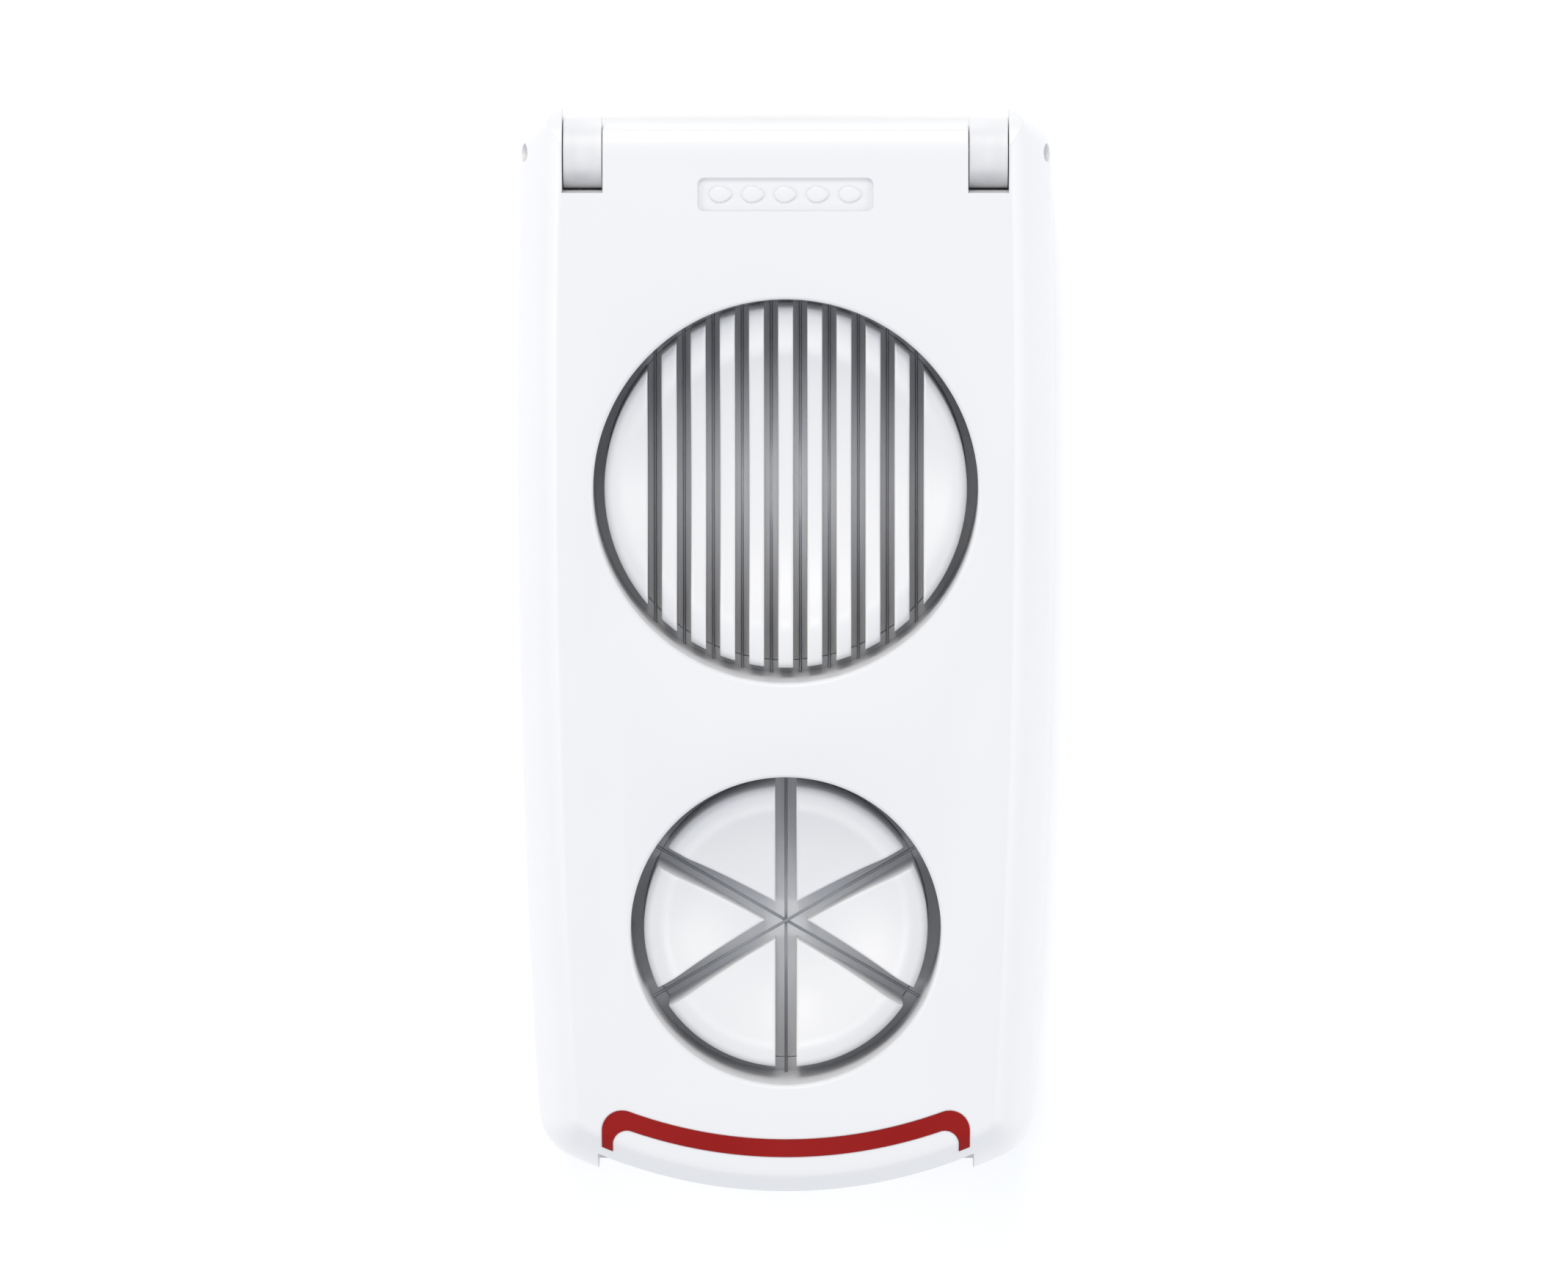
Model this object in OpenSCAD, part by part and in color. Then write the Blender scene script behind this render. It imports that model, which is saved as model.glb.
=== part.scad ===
// Two-way egg slicer: a slicing cup and a wedge cup on one base, under a hinged lid strung with wires.
// +Z is up, +Y points at the hinge, and the origin is under the middle of the closed slicer.

/* [Overall] */
// Length from the lip to the hinge end
body_l = 184; // [178:1:230]
// Width where the lid is widest
body_w = 90.9; // [86:0.1:112]
// Height of the closed slicer on its feet
body_h = 36; // [34:0.5:46]

/* [Lid] */
// Thickness of the closed lid, from the parting line to the top
lid_h = 15.7; // [14.5:0.1:20]
// Wall of the lid's sides
lid_wall = 2.2; // [1.6:0.1:3]
// Wall of the lid's top panel
panel_wall = 2.4; // [1.8:0.1:3.2]
// Radius of the rounded shoulder round the lid
shoulder_r = 14; // [11:0.5:14]
// Width of the shoulder, seen from above
shoulder_w = 7.1; // [4:0.1:9]
// Radius of the long curve of each side
side_r = 1944; // [900:10:4000]
// Distance from the hinge end to the widest place
side_apex = 58.3; // [40:0.1:90]
// Radius of the corners beside the lip
corner_r = 8.5; // [6:0.1:11]
// Radius of the corners beside the hinge
rear_corner_r = 8; // [5:0.1:10]

/* [Lip] */
// Radius of the lip's edge
lip_r = 82.1; // [70:0.1:100]
// Half of the lip's width
lip_half = 31.9; // [22:0.1:34]
// Thickness of the lid left above the finger recess
lip_t = 4.6; // [3.6:0.1:6]
// Depth of the finger recess behind the lip's edge
recess_depth = 9.1; // [6:0.1:14]
// How far the corners beside the lip stand further out than its edge
horn = 3.5; // [1:0.1:5]

/* [Grip inlay] */
// Width of the soft band
band_w = 3; // [2:0.1:5]
// Width of the band where it turns to the lip's edge
band_end_w = 1.8; // [1:0.1:3]
// Distance from the lip's edge to the outer edge of the band
band_back = 6.4; // [4:0.1:9]
// Half of the band's width across the lid
band_half = 31.2; // [20:0.1:31.4]
// Depth of the groove that holds the band
band_depth = 1.2; // [0.8:0.1:1.6]
// Radius of the band's outer curve
band_r = 79.9; // [60:0.1:120]
// Distance from the lip's edge to the band's ends
band_end_back = 1.6; // [0.8:0.1:3]
// Radius of the outer bend at each end of the band
band_outer_r = 3.4; // [2:0.1:4]
// Radius of the inner bend at each end of the band
band_inner_r = 2.4; // [1:0.1:3]
// Height of the band above the lid
band_proud = 0.15; // [0:0.05:0.4]

/* [Badge] */
// Width of the recessed badge panel
badge_w = 29.4; // [20:0.1:36]
// Length of the recessed badge panel
badge_l = 5.5; // [4:0.1:8]
// Depth of the badge panel
badge_depth = 0.6; // [0.3:0.1:1]
// Distance from the hinge end to the badge's middle
badge_back = 13.8; // [12:0.1:20]
// Radius of the badge panel's corners
badge_corner = 1; // [0.3:0.1:1.8]
// Length of one raised egg shape
badge_egg_l = 3.6; // [2:0.1:4.4]
// Number of raised egg shapes in the badge
badge_eggs = 5; // [3:1:7]

/* [Slicing side] */
// Radius of the slicing opening
slice_r = 32.5; // [30:0.1:35]
// Distance from the hinge end to the middle of the slicing opening
slice_back = 64.05; // [60:0.05:68]
// Distance between slicing wires
wire_pitch = 4.92; // [4:0.01:5]
// Number of slicing wires
wire_count = 10; // [6:1:10]
// Width of the slots that the slicing wires pass through
slice_slot = 2.4; // [1.6:0.1:3]
// Half length of the egg's seat, across the wires
seat_a = 28.5; // [26:0.1:29]
// Half width of the egg's seat, along the wires
seat_b = 23.5; // [20:0.1:26]

/* [Wedge side] */
// Radius of the wedge opening
wedge_r = 26.3; // [22:0.1:30]
// Distance from the lip to the middle of the wedge opening
wedge_front = 45; // [41:0.1:50]
// Number of wedge wires that cross in the middle
wedge_wires = 3; // [2:1:4]
// Width of the slots that the wedge wires pass through
wedge_slot = 3.6; // [2.8:0.1:4.5]
// Radius of the egg's seat on the wedge cup
wedge_seat = 20.5; // [16:0.1:22]

/* [Wires and cups] */
// Diameter of a wire
wire_d = 0.5; // [0.3:0.05:0.7]
// Wall of the round collars that hold the wires
collar_wall = 1.8; // [1.4:0.1:2.4]
// Length of the bent end of a wire
hook_h = 3.5; // [2:0.1:6]
// Height of the cups above the base's deck
cup_h = 11.5; // [10.5:0.1:13]
// Depth of the egg seats
seat_depth = 8.4; // [7:0.1:8.8]
// Depth of the slots' floor below the deck
slot_below = 0.5; // [0.2:0.1:1]
// Rounding of a cup's outer edge
cup_edge = 1.2; // [0.5:0.1:2]
// Width of the flange that locks a cup under the deck
flange_w = 2; // [1.5:0.1:3]
// Thickness of the cup's flange
flange_t = 2; // [1.5:0.1:3]
// Thickness of the lid's lower plate
liner_t = 1.45; // [1:0.05:2]

/* [Base] */
// Wall of the base
base_wall = 2.2; // [1.8:0.1:3]
// Thickness of the deck
deck_t = 2.2; // [1.8:0.1:3]
// How far the base stands back from the lid's edge
base_inset = 0.6; // [0.4:0.1:1.5]
// How far the base's back stands in from the hinge end
base_back = 3.8; // [3:0.1:5]
// How far the base's straight front stands back from the lip's edge
base_front = 3.4; // [3:0.1:6]
// Radius of a foot
foot_r = 5; // [4:0.1:6]
// Height of a foot below the base
foot_h = 2; // [1:0.1:3]
// Radius of a foot's stem
stem_r = 3; // [2:0.1:4]
// Length of a foot's stem
stem_h = 4; // [3:0.1:6]
// Distance from the base's sides to the middle of a foot
foot_side = 9.5; // [8.5:0.1:14]
// Distance from the base's ends to the middle of a foot
foot_end = 18; // [16:0.5:26]

/* [Hinge] */
// Radius of the hinge knuckles
knuckle_r = 6; // [5:0.1:6.2]
// Width of a hinge knuckle
knuckle_w = 6.5; // [5:0.1:7.5]
// Distance from the slicer's middle to the middle of a knuckle
knuckle_x = 34.15; // [30:0.05:35]
// Distance from the hinge end to the hinge axis
hinge_back = 7.4; // [7:0.1:8]
// Diameter of the hinge pins
pin_d = 3; // [2:0.1:4]
// How far each pin reaches into the tongue
pin_hold = 5.6; // [4:0.1:8]
// How far each pin's outer end lies in from the lid's widest side
pin_set_in = 2.15; // [2.1:0.05:4]
// How far the lid's tongue stands in from the hinge end
tongue_back = 3; // [2:0.1:4]

/* [Clearances] */
// Between the closed lid and the base's deck
lid_gap = 0.8; // [0.6:0.1:1.5]
// Between the slicing cup and the collar round it
cup_gap = 1.85; // [1.5:0.05:2.4]
// Between the wedge cup and the collar round it
wedge_gap = 2.2; // [1.8:0.1:2.8]
// Between a hinge pin and the bore that it turns in, all round
pin_gap = 0.05; // [0.02:0.01:0.08]
// Beside a knuckle
knuckle_gap = 0.3; // [0.3:0.05:0.8]
// In front of a knuckle
notch_gap = 0.4; // [0.4:0.05:1]
// Between crossing wires, and between a wire's bend and its collar
wire_gap = 0.05; // [0.03:0.01:0.1]
// Between parts that are pushed together, all round
fit_gap = 0.1; // [0.05:0.05:0.2]

/* [Hidden] */
WIRES = [for (i = [1:wire_count]) str("slicing_wire_", i)];
WEDGES = [for (i = [1:wedge_wires]) str("wedge_wire_", i)];
FEET = ["foot_front_left", "foot_front_right", "foot_back_left", "foot_back_right"];

$fn = 96;
fine = 360;
far = 400;

// The long way, from the lip to the hinge
front_y = -body_l / 2;
rear_y = body_l / 2;
slice_y = rear_y - slice_back;
wedge_y = front_y + wedge_front;
lip_y = front_y + lip_r;
apex_y = rear_y - side_apex;
axis_y = rear_y - hinge_back;
notch_y = axis_y - knuckle_r - notch_gap;
tongue_y = rear_y - tongue_back;
base_y = rear_y - base_back;

// Heights
lid_z = body_h - lid_h;
deck_z = lid_z - lid_gap;
under_deck = deck_z - deck_t;
cup_z = deck_z + cup_h;
slot_z = deck_z - slot_below;
liner_z = lid_z + liner_t;
wire_z = liner_z + wire_d / 2;
axis_z = lid_z + lid_h / 2;
shoulder_z = body_h - sqrt(shoulder_r ^ 2 - (shoulder_r - shoulder_w) ^ 2);

// Widths and radii
side_x = body_w / 2 - side_r;
front_r = lip_r + horn;
recess_r = lip_r - recess_depth;
notch_half = knuckle_w / 2 + knuckle_gap;
pin_r = pin_d / 2;
pin_in = knuckle_x - notch_half - pin_hold;
pin_out = body_w / 2 - pin_set_in;
boss_x = pin_in - fit_gap - 1;
boss_y = notch_y - lid_wall;
wire_r = wire_d / 2;
bend_r = 1.5 * wire_d;
slice_cup_r = slice_r - cup_gap;
wedge_cup_r = wedge_r - wedge_gap;
slice_out = slice_r + collar_wall;
wedge_out = wedge_r + collar_wall;
band_y = front_y + band_back + band_r;
foot_x = body_w / 2 - foot_side;
boss_r = foot_r + 0.6;
web_front = knuckle_r - 0.7;
web_back = base_y - 0.4;

function wire_x(i) = (i - (wire_count + 1) / 2) * wire_pitch;
function wedge_angle(i) = 90 + (i - 1) * 180 / wedge_wires;
function wedge_z(i) = wire_z + (i - 1) * (wire_d + wire_gap);

// Where a circle of radius ra round a crosses one of radius rb round b, on b's right as seen from a
function meet(a, ra, b, rb) =
    let (d = norm(b - a), u = (b - a) / d, t = (ra ^ 2 - rb ^ 2 + d ^ 2) / (2 * d))
    a + u * t + [u.y, -u.x] * sqrt(ra ^ 2 - t ^ 2);

module both_sides() {
    children();
    mirror([1, 0, 0]) children();
}

// What rounding a corner takes away: u and v point from the round's centre to where it starts and ends
module corner_cut(centre, u, v, r) {
    difference() {
        polygon([centre, centre + u * r, centre + 2 * (u + v) * r, centre + v * r]);
        translate(centre) circle(r);
    }
}

// The two long side curves, moved in by inset
module sides(inset) {
    intersection() {
        translate([side_x, apex_y]) circle(side_r - inset, $fn = 4 * fine);
        mirror([1, 0]) translate([side_x, apex_y]) circle(side_r - inset, $fn = 4 * fine);
    }
}

// Rounds the corners where the sides meet a straight end; way is 1 at the hinge and -1 at the lip
module end_corners(inset, end_y, way, corner) {
    r = max(corner - inset, 1);
    y = end_y - way * r;
    at = [side_x + sqrt((side_r - inset - r) ^ 2 - (y - apex_y) ^ 2), y];
    from_side = at - [side_x, apex_y];
    both_sides() corner_cut(at, from_side / norm(from_side), [0, way], r);
}

// Plan of the lid: the sides, the front's curve and a straight back
module outline(inset, back_y) {
    r = max(corner_r - inset, 1);
    side_c = [side_x, apex_y];
    front_c = [0, lip_y];
    at = meet(side_c, side_r - inset - r, front_c, front_r - inset - r);
    difference() {
        intersection() {
            sides(inset);
            translate(front_c) {
                circle(front_r - inset, $fn = fine);
                translate([-far / 2, 0]) square(far);
            }
            translate([-far / 2, back_y - far]) square(far);
        }
        both_sides() corner_cut(at, (at - side_c) / norm(at - side_c),
            (at - front_c) / norm(at - front_c), r);
        end_corners(inset, back_y, 1, rear_corner_r);
    }
}

// Plan of the base: the sides between two straight ends
module base_plan(inset) {
    from_y = front_y + base_front + inset;
    to_y = base_y - inset;
    difference() {
        intersection() {
            sides(base_inset + inset);
            translate([-far / 2, from_y]) square([far, to_y - from_y]);
        }
        end_corners(base_inset + inset, from_y, -1, corner_r);
        end_corners(base_inset + inset, to_y, 1, rear_corner_r);
    }
}

// Disc whose rim has the lid's shoulder; below the shoulder it stands out past the outline
module shoulder_disc(r, inset) {
    rotate_extrude($fn = 4 * fine) {
        square([r + inset + 5, shoulder_z]);
        square([r + inset - shoulder_w, far / 4]);
        translate([r + inset - shoulder_r, shoulder_z]) circle(shoulder_r - inset, $fn = fine);
    }
}

// Solid form of the lid between two heights, moved in by inset
module lid_form(inset, z0, z1, back_y) {
    intersection() {
        translate([0, 0, z0]) linear_extrude(z1 - z0) outline(inset, back_y);
        translate([side_x, apex_y, 0]) shoulder_disc(side_r - inset, inset);
        mirror([1, 0, 0]) translate([side_x, apex_y, 0]) shoulder_disc(side_r - inset, inset);
        translate([0, lip_y, 0]) {
            shoulder_disc(front_r - inset, inset);
            translate([-far / 2, 0, 0]) cube([far, far, far / 4]);
        }
    }
}

// Round bar along X on the hinge axis
module axis_bar(r, x0, x1) {
    translate([x0, axis_y, axis_z]) rotate([0, 90, 0]) cylinder(h = x1 - x0, r = r);
}

// Front of the lid, outside a circle round the lip's centre and between two sides
module front_plan(r, half) {
    difference() {
        translate([-half, lip_y - far]) square([2 * half, far]);
        translate([0, lip_y]) circle(r, $fn = fine);
    }
}

module front_block(r, half, z0, z1) {
    translate([0, 0, z0]) linear_extrude(z1 - z0) front_plan(r, half);
}

// A cylinder at each cup, larger than its opening by extra
module openings(extra, z0, z1) {
    translate([0, slice_y, z0]) cylinder(h = z1 - z0, r = slice_r + extra, $fn = fine);
    translate([0, wedge_y, z0]) cylinder(h = z1 - z0, r = wedge_r + extra, $fn = fine);
}

// Blocks round the hinge pins, moved out by extra
module pin_blocks(extra, z0, z1) {
    both_sides() translate([boss_x - extra, boss_y - extra, z0]) cube([far, far, z1 - z0]);
}

// Space inside the lid, down through its open underside
module lid_room() {
    difference() {
        lid_form(lid_wall, lid_z - 1, body_h - panel_wall, tongue_y - lid_wall);
        openings(collar_wall, lid_z - 2, body_h);
        front_block(recess_r - lid_wall, lip_half + lid_wall, lid_z - 2, body_h);
        pin_blocks(0, lid_z - 2, body_h);
    }
}

// Seat of the lower plate, from height z0 up, moved in by gap
module liner_space(gap, z0) {
    difference() {
        translate([0, 0, z0]) linear_extrude(liner_z - z0)
            outline(lid_wall + gap, tongue_y - lid_wall - gap);
        front_block(recess_r - lid_wall - gap, lip_half + lid_wall + gap, z0 - 1, body_h);
        pin_blocks(gap, z0 - 1, body_h);
    }
}

module wire_slots() {
    for (i = [1:wire_count])
        translate([wire_x(i) - wire_r, slice_y - slice_out - 1, lid_z - 1])
            cube([wire_d, 2 * slice_out + 2, wire_z + wire_r - lid_z + 1]);
    for (i = [1:wedge_wires])
        translate([0, wedge_y, lid_z - 1]) rotate(wedge_angle(i))
            translate([-wedge_out - 1, -wire_r, 0])
                cube([2 * wedge_out + 2, wire_d, wedge_z(i) + wire_r - lid_z + 1]);
}

// The lid's back end is round about the hinge axis, so that it clears the deck as it turns
module square_back() {
    difference() {
        translate([-far / 2, axis_y, lid_z - 1]) cube([far, far, lid_h + 2]);
        axis_bar(lid_h / 2, -far, far);
    }
}

module hinge_notches() {
    both_sides() translate([knuckle_x - notch_half, notch_y, lid_z - 1])
        cube([2 * notch_half, far, lid_h + 2]);
    translate([-knuckle_x, tongue_y, lid_z - 1]) cube([2 * knuckle_x, far, lid_h + 2]);
}

// Plan of the lid in front of an arc of the band, between two sides, with its corners rounded
module band_edge(arc_r, half, r) {
    at = [half - r, band_y - sqrt((arc_r + r) ^ 2 - (half - r) ^ 2)];
    difference() {
        translate([-half, band_y - far]) square([2 * half, far]);
        translate([0, band_y]) circle(arc_r, $fn = fine);
        both_sides() corner_cut(at, ([0, band_y] - at) / (arc_r + r), [1, 0], r);
    }
}

// Plan of the soft band: an arc that turns towards the lip's edge at both ends
module band_plan() {
    intersection() {
        translate([0, lip_y]) circle(lip_r - band_end_back, $fn = fine);
        difference() {
            band_edge(band_r - band_w, band_half, band_outer_r);
            band_edge(band_r, band_half - band_end_w, band_inner_r);
        }
    }
}

// The band's solid, from band_depth under the lid's surface to rise above it
module band_space(rise) {
    difference() {
        intersection() {
            translate([0, 0, body_h - 8]) linear_extrude(10) band_plan();
            translate([0, lip_y, rise]) intersection() {
                shoulder_disc(front_r, 0);
                cylinder(h = body_h, r = far);
            }
        }
        translate([0, lip_y, -band_depth]) intersection() {
            shoulder_disc(front_r, 0);
            cylinder(h = body_h, r = far);
        }
    }
}

// Egg shape, 2 * a long and 2 * b wide, with its thin end at +X
function egg_outline(a, b) =
    [for (t = [0:10:350]) [a * cos(t), b * sin(t) * (1 - 0.16 * cos(t))]];

// Recess of the badge, round its row of raised egg shapes
module badge_space() {
    r = badge_corner;
    step = badge_w / (badge_eggs + 0.4);
    translate([0, rear_y - badge_back, body_h - badge_depth]) difference() {
        linear_extrude(2 * badge_depth) {
            square([badge_w - 2 * r, badge_l], center = true);
            square([badge_w, badge_l - 2 * r], center = true);
            for (x = [-1, 1], y = [-1, 1])
                translate([x * (badge_w / 2 - r), y * (badge_l / 2 - r)]) circle(r);
        }
        for (i = [1:badge_eggs]) translate([(i - (badge_eggs + 1) / 2) * step, 0, -1])
            linear_extrude(badge_depth + 0.9) polygon(egg_outline(badge_egg_l / 2, badge_egg_l * 0.37));
    }
}

module lid_cover() {
    color([0.95, 0.95, 0.96]) difference() {
        lid_form(0, lid_z, body_h, rear_y);
        lid_room();
        liner_space(0, lid_z - 1);
        openings(0, lid_z - 1, body_h + 1);
        front_block(recess_r, lip_half, lid_z - 1, body_h - lip_t);
        front_block(lip_r, lip_half, lid_z - 1, body_h + 1);
        square_back();
        hinge_notches();
        wire_slots();
        badge_space();
        band_space(1);
        both_sides() axis_bar(pin_r, pin_in, far);
    }
}

module lid_liner() {
    color([0.93, 0.93, 0.94]) difference() {
        liner_space(fit_gap, lid_z);
        openings(0, lid_z - 1, body_h);
    }
}

module grip_inlay() {
    color([0.62, 0.16, 0.14]) band_space(band_proud);
}

// Half length of a wire that is bent up just outside a collar wall, in tenths of a millimetre
function past(wall) = ceil(10 * (wall + bend_r + wire_gap)) / 10;

// Straight wire of that half length along X, with both ends bent up
module bent_wire(half) {
    rotate([0, 90, 0]) cylinder(h = 2 * (half - bend_r), r = wire_r, center = true, $fn = 24);
    both_sides() {
        translate([half - bend_r, 0, bend_r]) rotate([90, 0, 0]) mirror([0, 1, 0])
            rotate_extrude(angle = 90, $fn = 48) translate([bend_r, 0]) circle(wire_r, $fn = 24);
        translate([half, 0, bend_r]) cylinder(h = hook_h - bend_r, r = wire_r, $fn = 24);
    }
}

module slicing_wire(i) {
    x = abs(wire_x(i)) - wire_r;
    color([0.78, 0.79, 0.8]) translate([wire_x(i), slice_y, wire_z]) rotate(90)
        bent_wire(past(sqrt(slice_out ^ 2 - x ^ 2)));
}

module wedge_wire(i) {
    color([0.78, 0.79, 0.8]) translate([0, wedge_y, wedge_z(i)]) rotate(wedge_angle(i))
        bent_wire(past(wedge_out));
}

module hinge_pin() {
    color([0.7, 0.71, 0.72]) axis_bar(pin_r, pin_in, pin_out);
}

// Cup with a flange under the deck and a rounded rim, before its seat and slots are cut
module cup_blank(r) {
    rotate_extrude($fn = fine) {
        translate([0, under_deck - flange_t]) square([r, cup_z - cup_edge - under_deck + flange_t]);
        translate([0, under_deck - flange_t]) square([r + flange_w, flange_t]);
        translate([0, cup_z - 2 * cup_edge]) square([r - cup_edge, 2 * cup_edge]);
        translate([r - cup_edge, cup_z - cup_edge]) circle(cup_edge);
    }
}

// Egg seat for an egg lying along X: an arc turned about a line along X above the cup
module lying_seat() {
    long_r = (seat_a ^ 2 + seat_depth ^ 2) / (2 * seat_depth);
    round_r = (seat_b ^ 2 + seat_depth ^ 2) / (2 * seat_depth);
    translate([0, 0, cup_z - seat_depth + round_r]) rotate([0, 90, 0]) rotate_extrude($fn = fine)
        intersection() {
            translate([round_r - long_r, 0]) circle(long_r, $fn = fine);
            translate([0, -far / 2]) square(far);
        }
}

module slicing_cup() {
    color([0.96, 0.96, 0.96]) translate([0, slice_y, 0]) difference() {
        cup_blank(slice_cup_r);
        lying_seat();
        for (i = [1:wire_count])
            translate([wire_x(i) - slice_slot / 2, -far / 2, slot_z]) cube([slice_slot, far, far]);
    }
}

module wedge_cup() {
    seat_r = (wedge_seat ^ 2 + seat_depth ^ 2) / (2 * seat_depth);
    color([0.96, 0.96, 0.96]) translate([0, wedge_y, 0]) difference() {
        cup_blank(wedge_cup_r);
        translate([0, 0, cup_z - seat_depth + seat_r]) sphere(seat_r, $fn = fine);
        for (i = [1:wedge_wires]) rotate(wedge_angle(i))
            translate([-far / 2, -wedge_slot / 2, slot_z]) cube([far, wedge_slot, far]);
    }
}

module at_feet() {
    both_sides() for (y = [front_y + foot_end, base_y - foot_end]) translate([foot_x, y, 0])
        children();
}

module base_housing() {
    color([0.93, 0.93, 0.94]) difference() {
        union() {
            difference() {
                translate([0, 0, foot_h]) linear_extrude(deck_z - foot_h) base_plan(0);
                translate([0, 0, foot_h - 1]) linear_extrude(under_deck - foot_h + 1)
                    base_plan(base_wall);
            }
            at_feet() translate([0, 0, foot_h]) cylinder(h = deck_z - foot_h - 0.1, r = boss_r);
            both_sides() {
                axis_bar(knuckle_r, knuckle_x - knuckle_w / 2, knuckle_x + knuckle_w / 2);
                translate([knuckle_x - knuckle_w / 2, axis_y - web_front, deck_z - deck_t / 2])
                    cube([knuckle_w, web_back - axis_y + web_front, axis_z - deck_z + deck_t / 2]);
            }
        }
        translate([0, slice_y, 0]) cylinder(h = body_h, r = slice_cup_r + fit_gap, $fn = fine);
        translate([0, wedge_y, 0]) cylinder(h = body_h, r = wedge_cup_r + fit_gap, $fn = fine);
        at_feet() cylinder(h = foot_h + stem_h, r = stem_r);
        both_sides() axis_bar(pin_r + pin_gap, 0, far);
    }
}

module foot(x, y) {
    color([0.75, 0.76, 0.78]) translate([x * foot_x, y, 0]) {
        cylinder(h = foot_h, r = foot_r);
        cylinder(h = foot_h + stem_h, r = stem_r);
    }
}

base_housing();
slicing_cup();
wedge_cup();
lid_cover();
lid_liner();
grip_inlay();
mirror([1, 0, 0]) hinge_pin();  // hinge_pin_left
hinge_pin();  // hinge_pin_right
foot(-1, front_y + foot_end);  // foot_front_left
foot(1, front_y + foot_end);  // foot_front_right
foot(-1, base_y - foot_end);  // foot_back_left
foot(1, base_y - foot_end);  // foot_back_right
for (i = [1:wire_count]) slicing_wire(i);
for (i = [1:wedge_wires]) wedge_wire(i);
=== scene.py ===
"""Looks of the two-way egg slicer: a white lid strung with wires over two slotted cups, and a red grip."""
import math

import bmesh
import bpy
import numpy as np
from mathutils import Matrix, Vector


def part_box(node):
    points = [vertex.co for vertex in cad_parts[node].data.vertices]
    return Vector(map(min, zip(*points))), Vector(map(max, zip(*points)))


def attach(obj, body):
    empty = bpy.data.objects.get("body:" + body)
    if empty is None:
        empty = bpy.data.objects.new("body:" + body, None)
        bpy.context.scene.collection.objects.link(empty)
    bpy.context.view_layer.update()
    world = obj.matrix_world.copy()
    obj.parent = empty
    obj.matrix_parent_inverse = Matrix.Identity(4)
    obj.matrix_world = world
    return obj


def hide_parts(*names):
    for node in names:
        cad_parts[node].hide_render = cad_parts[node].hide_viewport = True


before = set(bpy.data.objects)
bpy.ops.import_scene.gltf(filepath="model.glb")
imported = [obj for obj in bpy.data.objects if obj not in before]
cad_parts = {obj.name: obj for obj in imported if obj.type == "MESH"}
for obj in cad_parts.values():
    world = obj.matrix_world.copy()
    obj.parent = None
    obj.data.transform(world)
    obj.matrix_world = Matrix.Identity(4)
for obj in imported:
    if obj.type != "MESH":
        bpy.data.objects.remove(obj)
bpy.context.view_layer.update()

MM = 0.001
FRONT_Y, REAR_Y = -92, 92
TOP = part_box("lid_cover")[1].z / MM

# Lid, in millimetres
LID_Z, LID_H, LID_WALL, PANEL_WALL = 20.3, 15.7, 2.2, 2.4
SHOULDER_R, SHOULDER_W = 14, 7.1
SHOULDER_Z = TOP - math.sqrt(SHOULDER_R**2 - (SHOULDER_R - SHOULDER_W) ** 2)
CREASE_W = 0.8
SIDE_R, APEX_Y = 1944, REAR_Y - 58.3
SIDE_X = 45.45 - SIDE_R
CORNER_R, REAR_CORNER_R = 8.5, 8
LIP_R, LIP_HALF, LIP_T, HORN = 82.1, 31.9, 4.6, 3.5
LIP_Y = FRONT_Y + LIP_R
FRONT_R = LIP_R + HORN
RECESS_R = LIP_R - 9.1
TONGUE_Y = REAR_Y - 3
LINER_Z = LID_Z + 1.45

# Openings, wires and cups
SLICE_Y, SLICE_R = REAR_Y - 64.05, 32.5
WEDGE_Y, WEDGE_R = FRONT_Y + 45, 26.3
COLLAR = 1.8
RIM = 0.9
WIRE_R, WIRE_PITCH, WIRES = 0.25, 4.92, 10
BEND_R, WIRE_GAP, HOOK = 0.75, 0.05, 3.5
WIRE_Z = LINER_Z + WIRE_R
WEDGES = 3
SLOT, WEDGE_SLOT, SLOT_Z = 2.4, 3.6, 19.0
CUP_Z, CUP_EDGE, RIB_EDGE, SEAT_DEPTH = 31, 1.2, 0.45, 8.4
SLICE_CUP_R, WEDGE_CUP_R = SLICE_R - 1.85, WEDGE_R - 2.2
SEAT_A, SEAT_B, WEDGE_SEAT = 28.5, 23.5, 20.5
UNDER_DECK, FLANGE = 17.3, 2

# Hinge
AXIS_Y, AXIS_Z = REAR_Y - 7.4, LID_Z + LID_H / 2
KNUCKLE_X, NOTCH_HALF = 34.15, 3.42
NOTCH_Y = AXIS_Y - 6.15
PIN_R, PIN_IN, PIN_OUT = 1.5, 25, 43.3
BOSS_X, BOSS_Y = PIN_IN - 1.1, AXIS_Y - 6.4 - LID_WALL

# Grip inlay and badge
BAND_Y, BAND_R, BAND_W, BAND_HALF, BAND_END_W = FRONT_Y + 6.4 + 79.9, 79.9, 3, 31.2, 1.8
BAND_END_BACK, BAND_DEPTH, BAND_PROUD = 1.6, 1.2, 0.15
BADGE_Y, BADGE_W, BADGE_L, BADGE_DEPTH, BADGE_CORNER = REAR_Y - 13.8, 29.4, 5.5, 0.6, 1
EGGS, EGG_L = 5, 3.6

FAR = 200


# ---- Meshes

def to_object(name, points, faces):
    """An object from points in millimetres."""
    mesh = bpy.data.meshes.new(name)
    mesh.from_pydata([[v * MM for v in p] for p in points], [], faces)
    mesh.validate()
    obj = bpy.data.objects.new(name, mesh)
    bpy.context.scene.collection.objects.link(obj)
    return obj


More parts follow.
